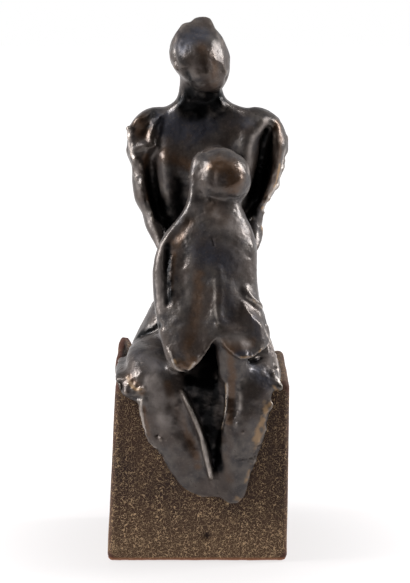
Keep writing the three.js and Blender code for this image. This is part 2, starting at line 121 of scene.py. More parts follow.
class Clay:
    """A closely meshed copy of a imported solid, pressed and painted as clay is, then made a piece.

    Coils of clay are laid on before it is meshed, each from a pixel to a pixel with a radius in mm."""

    def __init__(self, node, name, voxel, coils=()):
        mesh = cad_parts[node].data.copy()
        self.object = bpy.data.objects.new(name, mesh)
        bpy.context.scene.collection.objects.link(self.object)
        self.node = node
        self.masks = {}
        self.operate(bpy.ops.mesh.remove_doubles, threshold=WELD)
        if coils:
            self.read()
        for start, end, radius in coils:
            self.lay_coil(start, end, radius * MM)
        remesh = self.object.modifiers.new("voxels", "REMESH")
        remesh.mode = "VOXEL"
        remesh.voxel_size = voxel
        self.apply(remesh)
        self.read()

    def select(self):
        """Makes the piece the active object, and the only one selected."""
        bpy.ops.object.select_all(action="DESELECT")
        self.object.select_set(True)
        bpy.context.view_layer.objects.active = self.object

    def operate(self, operator, **settings):
        """Runs an edit mode operator on the whole mesh."""
        self.select()
        bpy.ops.object.mode_set(mode="EDIT")
        bpy.ops.mesh.select_all(action="SELECT")
        operator(**settings)
        bpy.ops.object.mode_set(mode="OBJECT")

    def apply(self, modifier):
        """Makes a modifier's result the mesh."""
        self.select()
        bpy.ops.object.modifier_apply(modifier=modifier.name)

    def lay_coil(self, start, end, radius):
        """Lays a coil of clay from the skin at one pixel straight to the skin at another."""
        first, last = (self.cast(pixel)[0] + COIL_SINK * radius * LOOK for pixel in (start, end))
        for share in np.linspace(0, 1, COIL_BALLS):
            bpy.ops.object.select_all(action="DESELECT")
            place = first.lerp(last, share)
            bpy.ops.mesh.primitive_ico_sphere_add(subdivisions=3, radius=radius, location=place)
            self.object.select_set(True)
            bpy.context.view_layer.objects.active = self.object
            bpy.ops.object.join()

    def read(self):
        """Reads the mesh: positions, normals, neighbours and a tree to cast rays on."""
        mesh = self.object.data
        count = len(mesh.vertices)
        self.points = np.zeros(count * 3)
        mesh.vertices.foreach_get("co", self.points)
        self.points = self.points.reshape(-1, 3)
        self.edges = np.zeros(len(mesh.edges) * 2, np.int64)
        mesh.edges.foreach_get("vertices", self.edges)
        self.edges = self.edges.reshape(-1, 2)
        self.degree = np.bincount(self.edges.ravel(), minlength=count)[:, None]
        self.refresh()

    def refresh(self):
        """Writes the positions to the mesh and takes the normals and the tree from it."""
        mesh = self.object.data
        mesh.vertices.foreach_set("co", self.points.ravel())
        mesh.update()
        self.normals = np.zeros(len(self.points) * 3)
        mesh.vertices.foreach_get("normal", self.normals)
        self.normals = self.normals.reshape(-1, 3)
        self.tree = BVHTree.FromPolygons(self.points.tolist(), [list(p.vertices) for p in mesh.polygons])

    def around(self, values):
        """The mean of each vertex's neighbours, for one or more columns of values."""
        a, b = self.edges.T
        total = np.stack([
            np.bincount(a, column[b], len(values)) + np.bincount(b, column[a], len(values))
            for column in values.T
        ], axis=1)
        return total / self.degree

    def evened(self, values, times):
        """Values at the vertices, each one averaged with its neighbours a number of times."""
        for _ in range(times):
            values = 0.5 * (values + self.around(values))
        return values

    def hollow(self, times):
        """How far each vertex lies under its surroundings, in metres. Edges and ridges are negative."""
        even = self.evened(self.points, times)
        return np.einsum("ij,ij->i", even - self.points, self.normals)

    def rims(self, times, low, high, spread=0):
        """How much each vertex is on a rim: 0 if it stands out by under low mm, 1 if by over high mm."""
        edge = smoothstep(-self.hollow(times), low * MM, high * MM)
        return self.evened(edge[:, None], spread)[:, 0]

    def smooth(self, times, keep=None):
        """Evens out the shape without shrinking it. Where keep is 1, it stays as it is."""
        even = self.evened(self.points, times)
        even += self.evened(self.points - even, times)
        share = 1 if keep is None else (1 - keep)[:, None]
        self.points += (even - self.points) * share
        self.refresh()

    def cast(self, pixel, depth=None):
        """The point, normal and depth of the clay that a pixel of the photograph shows.

        Where the pixel misses the clay, they are those nearest to it at a given depth."""
        right = float(pixel[0] - FRAME_CENTRE[0]) * PIXEL
        up = float(FRAME_CENTRE[1] - pixel[1]) * PIXEL
        ray = (DISTANCE * LOOK + Vector((right, 0, 0)) + up * UP).normalized()
        point, normal, _, distance = self.tree.ray_cast(EYE, ray)
        if point is None:
            point, normal, _, _ = self.tree.find_nearest(EYE + ray * (depth or DISTANCE))
            distance = (point - EYE).length
        return point, normal, distance

    def trace(self, path):
        """A stroke drawn over the photograph, as points and normals on the clay."""
        path = np.array(path, float)
        if len(path) > 2:
            path = rounded(path)
        points, normals, depth = [], [], None
        for pixel in spaced(path, STROKE_STEP / PIXEL):
            point, normal, depth = self.cast(pixel, depth)
            points.append(point)
            normals.append(normal)
        return np.array(points), np.array(normals)

    def near(self, line, line_normals, reach):
        """The vertices within reach of a line: which they are, how far, and the line's nearest point."""
        low, high = line.min(0) - reach, line.max(0) + reach
        inside = np.flatnonzero(np.all((self.points > low) & (self.points < high), axis=1))
        if not len(inside):
            return inside, np.zeros(0), inside
        apart = np.linalg.norm(self.points[inside, None] - line[None], axis=2)
        nearest = apart.argmin(1)
        distance = apart[np.arange(len(inside)), nearest]
        facing = np.einsum("ij,ij->i", self.normals[inside], line_normals[nearest])
        kept = (distance < reach) & (facing > -GRAZING)
        return inside[kept], distance[kept], nearest[kept]

    def brush(self, path, width, fade):
        """How much a stroke of a half width in mm covers each vertex, from 0 to 1.

        One pixel makes a dab. A stroke that is to fade grows weaker toward its ends."""
        width = width * MM
        if len(path) == 1:
            point, normal, _ = self.cast(path[0])
            line, line_normals = np.array([point]), np.array([normal])
        else:
            line, line_normals = self.trace(path)
        found, distance, nearest = self.near(line, line_normals, STROKE_REACH * width)
        taper = 1
        if fade and len(path) > 1:
            along = nearest / max(1, len(line) - 1)
            ends = min(LONGEST_TAPER, 2 * width / max(len(line) * STROKE_STEP, width))
            taper = smoothstep(along, 0, ends) * (1 - smoothstep(along, 1 - ends, 1))
        cover = np.zeros(len(self.points))
        cover[found] = np.exp(-(distance / width) ** 2) * taper
        return cover

    def carve(self, strokes):
        """Presses strokes into the clay or draws it up: each is its path, half width and height in mm."""
        rise = sum(height * MM * self.brush(path, width, True) for path, width, height in strokes)
        self.raise_by(rise)

    def paint(self, strokes):
        """The cover of some strokes together, from 0 to 1: each is its path, half width and strength."""
        bare = 1
        for path, width, strength in strokes:
            bare = bare * (1 - strength * self.brush(path, width, False))
        return 1 - bare

    def glaze(self, name, strokes, ragged, low, high):
        """Paints a mask with a ragged outline: none under a cover of low, and all of it over high."""
        self.masks[name] = smoothstep(self.paint(strokes) * (1 + ragged), low, high)

    def lumps(self, rise, size, seed, cover=1, octaves=2):
        """Unevenness of a rise and a width in mm, where the cover is 1."""
        return rise * MM * cover * clay_noise(self.points, size * MM, octaves, seed)

    def facet(self, corners, anchor, toward, share, margin, reach):
        """Flattens the clay inside some corners, given as pixels, to the plane through an anchor pixel.

        It fades over a margin at the outline, and leaves what lies further than reach from the plane.
        Share is how flat it gets, from 0 to 1, and the margin and reach are in mm."""
        points = np.array([self.cast(corner)[0] for corner in corners])
        centre = np.array(self.cast(anchor)[0])
        toward = np.array(toward) / np.linalg.norm(toward)
        inside = np.full(len(self.points), math.inf)
        for start, end in zip(points, np.roll(points, -1, axis=0)):
            inward = np.cross(np.array(LOOK), end - start)
            inward /= np.linalg.norm(inward)
            inside = np.minimum(inside, (self.points - start) @ inward)
        inside[self.normals @ np.array(LOOK) > GRAZING] = -1
        above = (self.points - centre) @ toward
        cover = share * smoothstep(inside, -margin * MM, margin * MM)
        cover *= 1 - smoothstep(np.abs(above), 0.7 * reach * MM, reach * MM)
        self.points -= (above * cover)[:, None] * toward
        self.refresh()

    def scatter(self, count, size, height, seed):
        """Scatters small beads over the clay, or pits where the height is negative. Size is a radius."""
        dice = np.random.default_rng(seed)
        rise = np.zeros(len(self.points))
        for at in dice.choice(len(self.points), count, replace=False):
            apart = np.linalg.norm(self.points - self.points[at], axis=1)
            rise += dice.uniform(0.4, 1) * height * np.exp(-(apart / size) ** 2)
        self.raise_by(rise)

    def soften(self, spots, times):
        """Evens out the clay round some pixels, each within its own radius in mm, and fully in half."""
        share = np.zeros(len(self.points))
        for pixel, radius in spots:
            apart = np.linalg.norm(self.points - np.array(self.cast(pixel)[0]), axis=1)
            share = np.maximum(share, 1 - smoothstep(apart, 0.5 * radius * MM, radius * MM))
        self.points += (self.evened(self.points, times) - self.points) * share[:, None]
        self.refresh()

    def shelter(self, reach, rays=20, every=8):
        """How enclosed each vertex is: the share of the ways out of it that meet clay within reach.

        It is measured at one vertex in every few, and spread to the others."""
        turn = math.pi * (3 - math.sqrt(5)) * np.arange(rays)  # steps of the golden angle
        level = 1 - 2 * (np.arange(rays) + 0.5) / rays
        across = np.sqrt(1 - level**2)
        ways = np.stack([across * np.cos(turn), across * np.sin(turn), level], axis=1)
        share = np.zeros((len(self.points), 2))
        for i in range(0, len(self.points), every):
            start = Vector((self.points[i] + self.normals[i] * 0.3 * MM).tolist())  # just off the skin
            met = 0
            for way in (self.normals[i] * 1.02 + ways).tolist():
                met += self.tree.ray_cast(start, Vector(way), reach)[0] is not None
            share[i] = met / rays, 1
        total, weight = self.evened(share, 30).T
        return total / np.maximum(weight, 1e-6)

    def raise_by(self, rise):
        """Moves each vertex out by its rise."""
        self.points += self.normals * rise[:, None]
        self.refresh()

    def keep_inside(self):
        """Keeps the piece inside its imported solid's box, so its underside is flat too."""
        low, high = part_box(self.node)
        self.points = np.clip(self.points, np.array(low), np.array(high))
        self.refresh()

    def finish(self, material, slot):
        """Thins the mesh to its limit, stores the masks and puts the piece in its node's place."""
        for name, values in self.masks.items():
            layer = self.object.data.attributes.new(name, "FLOAT", "POINT")
            layer.data.foreach_set("value", np.clip(values, 0, 1).astype(np.float32))
        triangles = sum(len(p.vertices) - 2 for p in self.object.data.polygons)
        if triangles > TRIANGLE_LIMIT:
            thin = self.object.modifiers.new("thin", "DECIMATE")
            thin.ratio = TRIANGLE_LIMIT / triangles
            self.apply(thin)
        mesh = self.object.data
        mesh.materials.clear()
        mesh.materials.append(material)
        mesh.shade_smooth()
        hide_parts(self.node)
        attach(self.object, "root")


def spaced(path, step):
    """Points along a polyline, about one step apart."""
    gaps = np.linalg.norm(np.diff(path, axis=0), axis=1)
    run = np.concatenate([[0], np.cumsum(gaps)])
    at = np.linspace(0, run[-1], max(2, int(run[-1] / step) + 1))
    return np.stack([np.interp(at, run, path[:, axis]) for axis in (0, 1)], axis=1)


def rounded(path):
    """A smooth curve through the points of a path, eight short straights between each two of them."""
    padded = np.concatenate([[2 * path[0] - path[1]], path, [2 * path[-1] - path[-2]]])
    curve = []
    for a, b, c, d in zip(padded, padded[1:], padded[2:], padded[3:]):
        for t in np.linspace(0, 1, 8, endpoint=False):
            bend = (2 * a - 5 * b + 4 * c - d) * t**2 + (3 * b - a - 3 * c + d) * t**3
            curve.append(b + 0.5 * ((c - a) * t + bend))
    return np.array(curve + [path[-1]])


# Strokes of the modelling tool, drawn over the photograph in its pixels.
# Each has its path, its half width and its height in mm. Grooves have a negative height.

HEAD = [
    ([(185, 66), (187, 73), (189, 80)], 5.0, -1.4),  # left hollow
    ([(199, 56), (197, 70), (200, 84)], 5.0, 0.7),
    ([(182, 33), (177, 41), (175, 50), (176, 60), (179, 68)], 1.9, -0.8),  # edge of the hair
    ([(172, 46), (171, 55), (172, 63)], 2.2, 0.8),
    ([(222, 41)], 3.0, 1.2),
    ([(225, 72)], 2.4, 1.0),
    ([(226, 79)], 2.4, -1.0),
    ([(176, 67)], 2.8, 1.4),
    ([(182, 33)], 8.0, 3.0),
    ([(188, 28)], 5.0, 2.4),
    ([(215, 34)], 6.0, 1.0),
    ([(209, 25)], 3.6, 1.6),  # the topknot's right side
    ([(191, 31), (200, 34), (212, 33)], 2.0, -0.9),  # under the topknot
    ([(188, 98), (204, 103), (219, 98)], 4.0, -1.6),  # under the chin
    ([(220, 97), (221, 105), (224, 113)], 2.2, 0.9),  # tendon
    ([(197, 110), (196, 121)], 1.8, 0.9),  # throat
    ([(212, 113), (213, 121)], 2.2, 0.8),
]
CHEST = [
    ([(184, 137)], 9, -1.4),
    ([(163, 150), (166, 165), (168, 185), (168, 205)], 5.0, 1.6),  # rib
    ([(152, 160), (154, 180), (156, 200), (161, 224)], 3.4, -2.0),
    ([(182, 170), (183, 190), (180, 215)], 6.0, -1.6),
    ([(269, 114), (260, 123), (250, 135), (245, 150), (246, 168)], 6.0, 3.5),  # right breast
    ([(273, 120), (267, 138), (262, 160), (258, 185), (255, 207)], 3.6, -4.5),  # cleft beside the arm
]
LEFT_ARM = [
    ([(127, 151), (133, 149), (141, 146), (149, 143)], 2.4, 0.8),  # band
    ([(129, 157), (137, 154), (147, 149)], 1.7, -0.8),
    ([(134, 159)], 2.8, 1.6),  # knob
    ([(130, 129)], 2.0, 1.3),
    ([(129, 138)], 2.2, 1.5),
    ([(133, 145)], 1.8, 0.8),
    ([(140, 160), (143, 175), (142, 190), (147, 201), (151, 208), (153, 220), (160, 243)], 1.6, 0.5),
]
RIGHT_ARM = [
    (
        [(285, 122), (285, 133), (288, 146), (284, 158), (281, 172), (279, 182), (274, 190), (265, 204)],
        1.7, 0.9,
    ),  # torn rim
    ([(275, 122), (276, 137), (276, 150), (278, 160)], 1.6, -0.8),
    ([(288, 148)], 2.2, 1.4),
    ([(283, 160)], 1.8, -0.9),
    ([(277, 185)], 2.6, 1.4),
    ([(274, 177)], 1.8, -0.9),
    ([(268, 199)], 2.0, 1.3),
    ([(263, 213)], 1.8, 1.0),
    ([(258, 224), (262, 231), (260, 243)], 2.2, 1.3),  # knuckle
    ([(252, 214), (253, 222)], 1.3, 0.8),
]
CHILD_HEAD = [
    ([(212, 155), (208, 164), (206, 176), (205, 188), (202, 200)], 3.2, 0.6),  # hood's edge
    ([(214, 166), (213, 178), (213, 190)], 2.6, -0.9),
    ([(189, 177)], 1.2, 0.8),
    ([(238, 162)], 2.4, 0.5),
    ([(245, 173)], 2.0, 0.5),
    ([(240, 180)], 3.2, 0.8),
    ([(218, 165)], 3.4, -0.8),
    ([(226, 184)], 4.0, -0.8),
    ([(226, 197), (234, 199), (241, 198), (247, 192)], 1.8, -1.4),  # under the chin
    ([(206, 195), (212, 198), (220, 198)], 2.2, -0.7),
    ([(208, 199)], 1.4, 0.7),
    ([(213, 203)], 1.2, 0.6),
]
CHILD_BODY = [
    ([(211, 236), (213, 242), (214, 248)], 1.3, -1.0),  # slit
    ([(167, 244), (166, 262), (166, 280), (167, 296), (169, 308)], 2.4, -1.3),  # left valley
    ([(184, 240), (182, 262), (183, 296), (186, 312)], 7.0, -2.8),
    ([(218, 262), (220, 285), (219, 305), (219, 322)], 2.8, 0.9),  # keel
    ([(228, 266), (229, 290), (229, 318)], 7.0, 1.3),
    ([(210, 266), (211, 290), (210, 320)], 5.0, -1.3),
    ([(184, 322), (185, 340)], 7.0, 0.8),
    ([(217, 325)], 2.2, 1.2),
    ([(168, 350), (173, 362), (178, 369), (187, 371), (194, 365)], 1.7, 0.9),  # tongue's rim
    ([(185, 358)], 4.4, -1.4),
    ([(219, 335), (212, 341), (205, 350), (199, 360), (194, 366)], 1.5, 0.5),
    ([(242, 284), (249, 295), (257, 303), (265, 309)], 2.8, 1.7),  # fold
    ([(246, 306), (252, 314), (259, 321)], 4.0, -0.6),
    ([(241, 357), (249, 357), (256, 354), (263, 348)], 1.1, 0.8),  # hem
    ([(246, 362), (255, 360), (264, 356)], 1.6, -2.2),
    ([(244, 220)], 3.0, 0.5),
    ([(247, 232)], 3.0, -0.6),
    ([(252, 244)], 3.0, 0.5),
    ([(249, 256)], 3.0, -0.6),
    ([(186, 219), (181, 226)], 2.0, 0.6),
]
HIPS = [
    ([(265, 322), (271, 333), (276, 345), (278, 360), (281, 377)], 1.5, 0.8),  # edge of the fold
    ([(270, 340), (273, 355), (276, 372)], 2.6, -1.2),
    ([(279, 350), (284, 360), (287, 372)], 0.9, 0.7),  # combed ribs
    ([(283, 349), (288, 358), (290, 368)], 0.9, 0.7),
    ([(276, 357), (281, 367), (285, 377)], 0.9, 0.7),
    ([(136, 338), (146, 333), (156, 328), (164, 322)], 2.8, -2.2),  # left crease
    ([(123, 348), (121, 360), (122, 372)], 1.8, 0.7),
    ([(118, 386)], 4.2, -4.2),
    ([(123, 398)], 3.4, -3.2),
    ([(128, 376)], 1.8, 0.9),  # torn lumps at the knee
    ([(133, 381)], 1.6, -0.8),
    ([(129, 384)], 1.8, 0.9),
    ([(133, 389)], 1.8, 1.0),
    ([(138, 386)], 1.4, -0.7),
    ([(139, 391)], 1.7, 1.0),
    ([(144, 388)], 1.6, 0.8),
    ([(126, 393)], 1.7, 0.8),
    ([(128, 398), (136, 399), (144, 397)], 1.6, -1.5),
]
LEGS = [
    ([(180, 388), (189, 407), (198, 428), (203, 445), (208, 465), (212, 481)], 1.6, 2.0),  # left ridge
    ([(170, 398), (179, 416), (188, 436), (195, 455)], 8.0, -1.6),
    ([(213, 455), (216, 470), (218, 484)], 1.2, 0.5),
    ([(141, 396), (141, 408), (144, 425), (148, 438), (152, 446), (157, 447)], 1.4, 0.8),
    ([(157, 435)], 2.4, -1.8),
    ([(161, 440)], 1.8, 0.9),
    ([(226, 383), (227, 400), (225, 415), (222, 428)], 1.4, 1.0),  # right leg's inner edge
    ([(232, 372), (233, 390), (231, 408), (229, 424)], 3.6, -0.9),
    ([(241, 384), (242, 397), (241, 412)], 3.4, 1.1),
    ([(235, 460), (243, 459), (250, 458), (257, 455)], 0.9, -1.1),  # crack
    ([(243, 433)], 1.2, 0.8),
    ([(237, 424)], 1.1, 0.6),
    ([(236, 455)], 1.2, -0.8),
    ([(248, 461)], 1.2, -0.7),
    ([(271, 404)], 2.2, 1.2),
    ([(267, 416)], 1.8, -1.0),
    ([(265, 436)], 2.2, 1.2),
    ([(259, 447)], 1.6, -0.9),
    ([(216, 486), (219, 496)], 1.4, -1.0),
]

# Places that fingers smoothed: pixels and radii in mm
SOFT = [
    ((165, 378), 17), ((150, 385), 12), ((185, 372), 10), ((250, 380), 15), ((262, 372), 10),
    ((230, 372), 10), ((143, 124), 10), ((212, 372), 9), ((202, 388), 8), ((222, 388), 8),
    ((200, 486), 9), ((178, 246), 9), ((177, 262), 8), ((176, 280), 8), ((173, 296), 8), ((173, 312), 7),
    ((150, 330), 8), ((153, 119), 9), ((152, 131), 8), ((253, 314), 8),
]

# Coils laid on before the clay is smoothed: from a pixel, to a pixel, radius in mm
COILS = [
    ((233, 336), (232, 386), 8.0),  # column under the right lobe
    ((223, 332), (229, 380), 7.5),
    ((196, 25), (209, 26), 4.0),  # topknot
]

# Flats: corners and an anchor in pixels, the way each one faces, its share, its margin and reach in mm
FLATS = [
    (  # the mother's temple
        [(211, 42), (216, 35), (220, 42), (224, 55), (223, 68), (214, 61)],
        (213, 47), (0.65, -0.63, 0.43), 0.58, 2, 30,
    ),
    (  # the right lobe
        [(246, 308), (256, 312), (265, 321), (266, 340), (260, 350), (249, 353), (244, 340)],
        (246, 336), (0.12, -0.99, 0.04), 0.55, 5, 14,
    ),
    (  # the side of the hood
        [(196, 160), (207, 158), (208, 175), (206, 192), (196, 196), (194, 178)],
        (201, 178), (-0.35, -0.9, 0.2), 0.45, 4, 10,
    ),
    (  # the left shoulder
        [(133, 117), (149, 114), (150, 128), (146, 140), (133, 140), (130, 128)],
        (141, 128), (-0.05, -0.97, 0.2), 0.8, 2.5, 8,
    ),
]

# Torn edges, which are made ragged: paths, half widths in mm and strengths
TORN = [
    (
        [(284, 118), (288, 135), (289, 148), (285, 160), (281, 172), (278, 184), (270, 196), (263, 210),
         (262, 232)],
        2.8, 1,
    ),
    ([(129, 125), (127, 140), (128, 152), (132, 162), (136, 185)], 2.8, 1),
    ([(140, 160), (143, 175), (142, 190), (147, 201), (153, 220)], 1.6, 1),
    ([(168, 350), (173, 362), (178, 369), (187, 371), (194, 365), (205, 350)], 2, 0.7),
    ([(241, 357), (256, 354), (263, 348), (267, 335), (264, 312)], 1.8, 0.8),
    ([(122, 345), (115, 362), (114, 376), (126, 380)], 2.8, 0.55),
    ([(139, 398), (141, 415), (146, 437), (153, 450), (160, 462)], 2.8, 1),
    ([(274, 395), (271, 410), (267, 425), (262, 440), (257, 455), (251, 475)], 2.8, 1),
    ([(272, 335), (280, 350), (287, 372), (281, 388)], 2.8, 1),
]

# Colours of the glaze, each one painted with strokes: paths, half widths in mm and strengths

# Warm brown, where it ran thin
WARM = [
    ([(176, 242), (190, 222)], 5, 0.8),
    ([(203, 48), (212, 64), (213, 82)], 8, 0.6),
    ([(138, 120), (146, 132)], 8, 1),
    ([(146, 157), (147, 180), (149, 198)], 3.4, 1),
    ([(165, 155), (180, 160), (188, 166)], 6, 0.7),
    ([(278, 125), (277, 150), (273, 175), (266, 200)], 4.5, 0.9),
    ([(218, 164), (232, 170), (235, 186)], 9, 1),
    ([(214, 210), (226, 220)], 7, 0.7),
    ([(179, 238), (173, 258), (171, 290)], 2.8, 0.8),
    ([(199, 275), (197, 300), (192, 330), (188, 350)], 5, 0.8),
    ([(177, 364), (186, 366), (193, 362)], 4, 1),
    ([(226, 344), (240, 345), (252, 342)], 5, 0.8),
    ([(230, 350), (232, 375), (231, 400), (229, 422)], 3.6, 0.9),
    ([(167, 385), (173, 405), (183, 425), (192, 445), (199, 466)], 4, 0.8),
    ([(143, 408), (148, 434)], 3, 0.6),
    ([(128, 378), (142, 391)], 4, 0.9),
    ([(222, 440), (227, 460), (230, 480)], 5, 0.4),
]

# Bare ochre clay
OCHRE = [
    ([(267, 403), (263, 420), (258, 436), (252, 451)], 4.2, 0.85),
    ([(251, 465), (246, 482)], 2.6, 0.5),
    ([(236, 498), (245, 503)], 3, 0.7),
    ([(208, 168)], 2.5, 0.4),
    ([(280, 165), (276, 183), (269, 196), (263, 208)], 1.8, 0.9),
    ([(262, 226), (263, 236), (260, 245)], 1.8, 0.7),
    ([(174, 360), (179, 369), (187, 371), (194, 363)], 1.2, 0.8),
    ([(241, 357), (249, 357), (256, 354), (263, 348)], 0.8, 1),
    ([(253, 300), (264, 310)], 1, 0.8),
    ([(226, 384), (226, 400), (224, 415), (222, 428)], 0.8, 0.9),
    ([(128, 378), (133, 387), (142, 391)], 1.6, 0.9),
    ([(274, 386), (277, 391)], 1.5, 0.9),
]

# A dry grey bloom, and painted sheen and highlights on the right breast, the temple and the left shin
BLOOM_AND_PAINTED_SHEEN = [
    ([(238, 240), (242, 290)], 13, 0.42),
    ([(188, 250), (190, 330)], 12, 0.3),
    ([(205, 215), (222, 240)], 12, 0.2),
    ([(218, 212), (234, 226)], 8, 0.45),
    ([(232, 338), (246, 343)], 7, 0.6),
    ([(275, 135), (275, 165), (270, 192)], 4.5, 0.5),
    # painted highlight on the right breast
    ([(268, 120), (260, 130), (252, 140), (248, 151)], 3.2, 0.9),
    ([(248, 155), (249, 172)], 2.8, 0.9),
    # painted sheen on the left shin
    ([(152, 384), (160, 405), (166, 420)], 8, 0.75),
    ([(172, 400), (182, 428)], 6, 0.45),
    ([(135, 165), (137, 185), (143, 205), (152, 228), (158, 246)], 3.4, 0.5),
    ([(143, 356), (154, 366)], 8, 0.35),
    ([(152, 380), (160, 394)], 5, 0.5),
    ([(161, 246), (159, 262), (159, 285), (161, 310)], 3.4, 0.9),
    ([(201, 160), (198, 178), (199, 197), (190, 215)], 5, 0.35),
    # painted highlight on the temple
    ([(215, 44), (220, 58)], 3, 0.4),
    ([(270, 335), (277, 365)], 3, 0.5),
    ([(130, 129), (129, 140), (133, 159)], 2.4, 0.8),
]

# A cold blue-grey, where it is thickest
BLUE = [
    ([(184, 42), (200, 35)], 9, 0.9),
    ([(200, 250), (228, 258)], 12, 0.7),
    ([(254, 318), (256, 338)], 7, 0.5),
    ([(160, 122), (185, 132), (205, 124)], 12, 0.9),
    ([(235, 120), (252, 124)], 8, 0.5),
    ([(229, 262), (230, 290), (228, 322)], 9, 0.4),
    ([(138, 352), (155, 366)], 9, 0.5),
    ([(240, 354), (254, 364), (264, 382)], 9, 0.7),
]

# Black, painted shade: where shade falls in hollows, under the chin, between the legs and beside the arm,
# with dabs that dim glints
PAINTED_SHADE = [
    ([(188, 34), (200, 40)], 10, 0.25),
    ([(200, 62), (210, 80)], 10, 0.3),
    ([(168, 132), (200, 136), (236, 126)], 14, 0.25),
    ([(256, 104), (272, 112)], 7, 0.6),
    ([(180, 38), (179, 54)], 5, 0.4),
    ([(204, 163)], 5, 0.5),
    ([(250, 228), (252, 244)], 5, 0.3),
    ([(178, 102)], 5, 0.4),
    ([(145, 128), (152, 120)], 5, 0.3),
    ([(186, 93), (204, 98), (220, 95)], 7, 1),
    ([(189, 105), (204, 110), (214, 105)], 9, 1),
    ([(189, 380), (200, 383), (213, 386)], 5, 1),
    ([(208, 352), (214, 366)], 4, 1),
    ([(138, 336), (148, 331), (160, 324)], 3.4, 0.9),
    ([(206, 372), (211, 400), (215, 430), (217, 466)], 6, 1),
    ([(190, 388), (204, 392), (215, 396)], 6, 0.9),
    ([(199, 402), (207, 422), (212, 445)], 5, 0.9),
    ([(266, 130), (261, 160), (256, 190), (254, 215)], 2.8, 1),
    ([(190, 218), (186, 240), (185, 264)], 5.5, 0.55),
    ([(153, 112), (153, 124), (151, 136)], 3.5, 0.5),
    ([(283, 380), (286, 386)], 3, 0.6),
    ([(116, 370), (119, 388)], 3, 0.5),
    ([(160, 205), (170, 225)], 9, 0.9),
    ([(184, 66), (187, 74), (190, 82)], 6, 0.6),
    ([(140, 116), (147, 126), (143, 138)], 6, 0.45),
    ([(168, 248), (169, 275), (170, 302)], 4.5, 0.9),
    ([(178, 180), (180, 215)], 5, 0.8),
]

# Painted highlights: pale lines along ridges and rims, where the softboxes glint
PAINTED_HIGHLIGHTS = [
    ([(182, 393), (190, 408), (199, 429), (204, 445), (208, 465), (211, 476)], 0.8, 0.6),
    ([(199, 429), (204, 446), (208, 465), (210, 475)], 1.3, 0.6),
    ([(214, 280), (215, 295), (215, 308), (218, 323)], 1.3, 0.45),
    ([(227, 384), (227, 400), (225, 415), (222, 428)], 0.8, 0.8),
    ([(154, 113), (155, 120), (151, 130), (149, 138), (151, 144)], 0.6, 0.3),
    ([(163, 248), (162, 262), (163, 285), (163, 306)], 0.8, 0.5),
    ([(239, 386), (241, 398), (240, 408)], 2.6, 0.4),
    ([(129, 128), (128, 140), (133, 158)], 2.0, 0.7),
    ([(285, 150), (281, 170), (278, 184), (269, 197), (263, 210)], 1.2, 0.8),
    ([(141, 400), (142, 416), (146, 436), (151, 446), (156, 448)], 1.0, 0.7),
    ([(170, 352), (176, 368), (187, 371), (195, 363)], 0.9, 0.8),
    ([(265, 330), (272, 345), (277, 360), (280, 384)], 0.9, 0.8),
    ([(246, 297), (256, 303), (264, 310)], 0.8, 0.7),
    ([(126, 378), (134, 386), (142, 391)], 1.8, 0.4),
]

# Matt, where a gloss would mirror the softboxes too hard
DULL = [
    ([(184, 31), (200, 23), (214, 30)], 13, 1),  # the mother's hair
    ([(206, 153), (222, 148), (238, 154)], 9, 0.9),  # the hood's crown
]

# The block's lip, a slab's end that stands up beside the left hip
LIP = [
    ([(122, 336), (120, 350), (121, 372)], 4, 1),
    ([(118, 386), (126, 394)], 5, 0.6),
]

# The round dimple low on the block, pressed in mm and painted
DIMPLE_PLACE = (207, 535)
DIMPLE_PRESS = [([DIMPLE_PLACE], 3.4, -2.0)]
DIMPLE = [([DIMPLE_PLACE], 3.0, 1)]

# Beads and pits in the glaze: how many, and each one's radius and greatest height
BEADS = (160, 1.1 * MM, 0.45 * MM)
PITS = (120, 1.1 * MM, -0.5 * MM)


def model_figures():
    """Both figures: smoothed, pressed with the tool, torn at the rims, beaded, then glazed."""
    clay = Clay("mother_and_child", "clay_figures", FIGURES_VOXEL, COILS)

    # The planes are evened out, and the crisp edges of the slabs are kept
    clay.smooth(times=4)
    crisp = smoothstep(np.abs(clay.hollow(times=10)), low=0.25 * MM, high=0.7 * MM)
    crisp = clay.evened(crisp[:, None], times=6)[:, 0]
    clay.smooth(times=60, keep=0.92 * crisp)
    clay.soften(SOFT, times=80)
    for flat in FLATS:
        clay.facet(*flat)
    clay.carve([*HEAD, *CHEST, *LEFT_ARM, *RIGHT_ARM, *CHILD_HEAD, *CHILD_BODY, *HIPS, *LEGS])

    # Broad dents of the hand, fingermarks, uneven rims, and the ragged tears
    rise = clay.lumps(rise=0.6, size=14, seed=1)
    rise += clay.lumps(rise=0.28, size=5, seed=2)
    rims = clay.rims(times=8, low=0.2, high=0.6, spread=3)
    rise += clay.lumps(rise=0.7, size=5, seed=5, cover=rims)
    rise += clay.lumps(rise=1.7, size=4.5, seed=4, cover=clay.paint(TORN))
    clay.raise_by(rise)
    clay.scatter(*BEADS, seed=8)
    clay.scatter(*PITS, seed=9)

    # The colours of the glaze end raggedly, and those of the bare clay more so
    ragged = 0.8 * clay_noise(clay.points, size=5 * MM, octaves=3, seed=6)
    broken = 1.3 * clay_noise(clay.points, size=3.5 * MM, octaves=2, seed=12)
    clay.glaze("ochre", OCHRE, broken, low=0.35, high=1)
    # Of these, pale is bloom and painted sheen, black is painted shade, and worn is painted highlights
    paints = {"warm": WARM, "pale": BLOOM_AND_PAINTED_SHEEN, "blue": BLUE, "black": PAINTED_SHADE, "worn": PAINTED_HIGHLIGHTS, "dull": DULL}
    for name, strokes in paints.items():
        clay.glaze(name, strokes, ragged, low=0.12, high=0.9)
    # Darker the more enclosed the clay is: partly glaze that pools dark in recesses, partly painted shade
    clay.masks["hollow"] = smoothstep(clay.shelter(reach=45 * MM), low=0.35, high=0.8)
    clay.masks["edge"] = clay.rims(times=8, low=0.12, high=0.5)
    clay.keep_inside()
    return clay


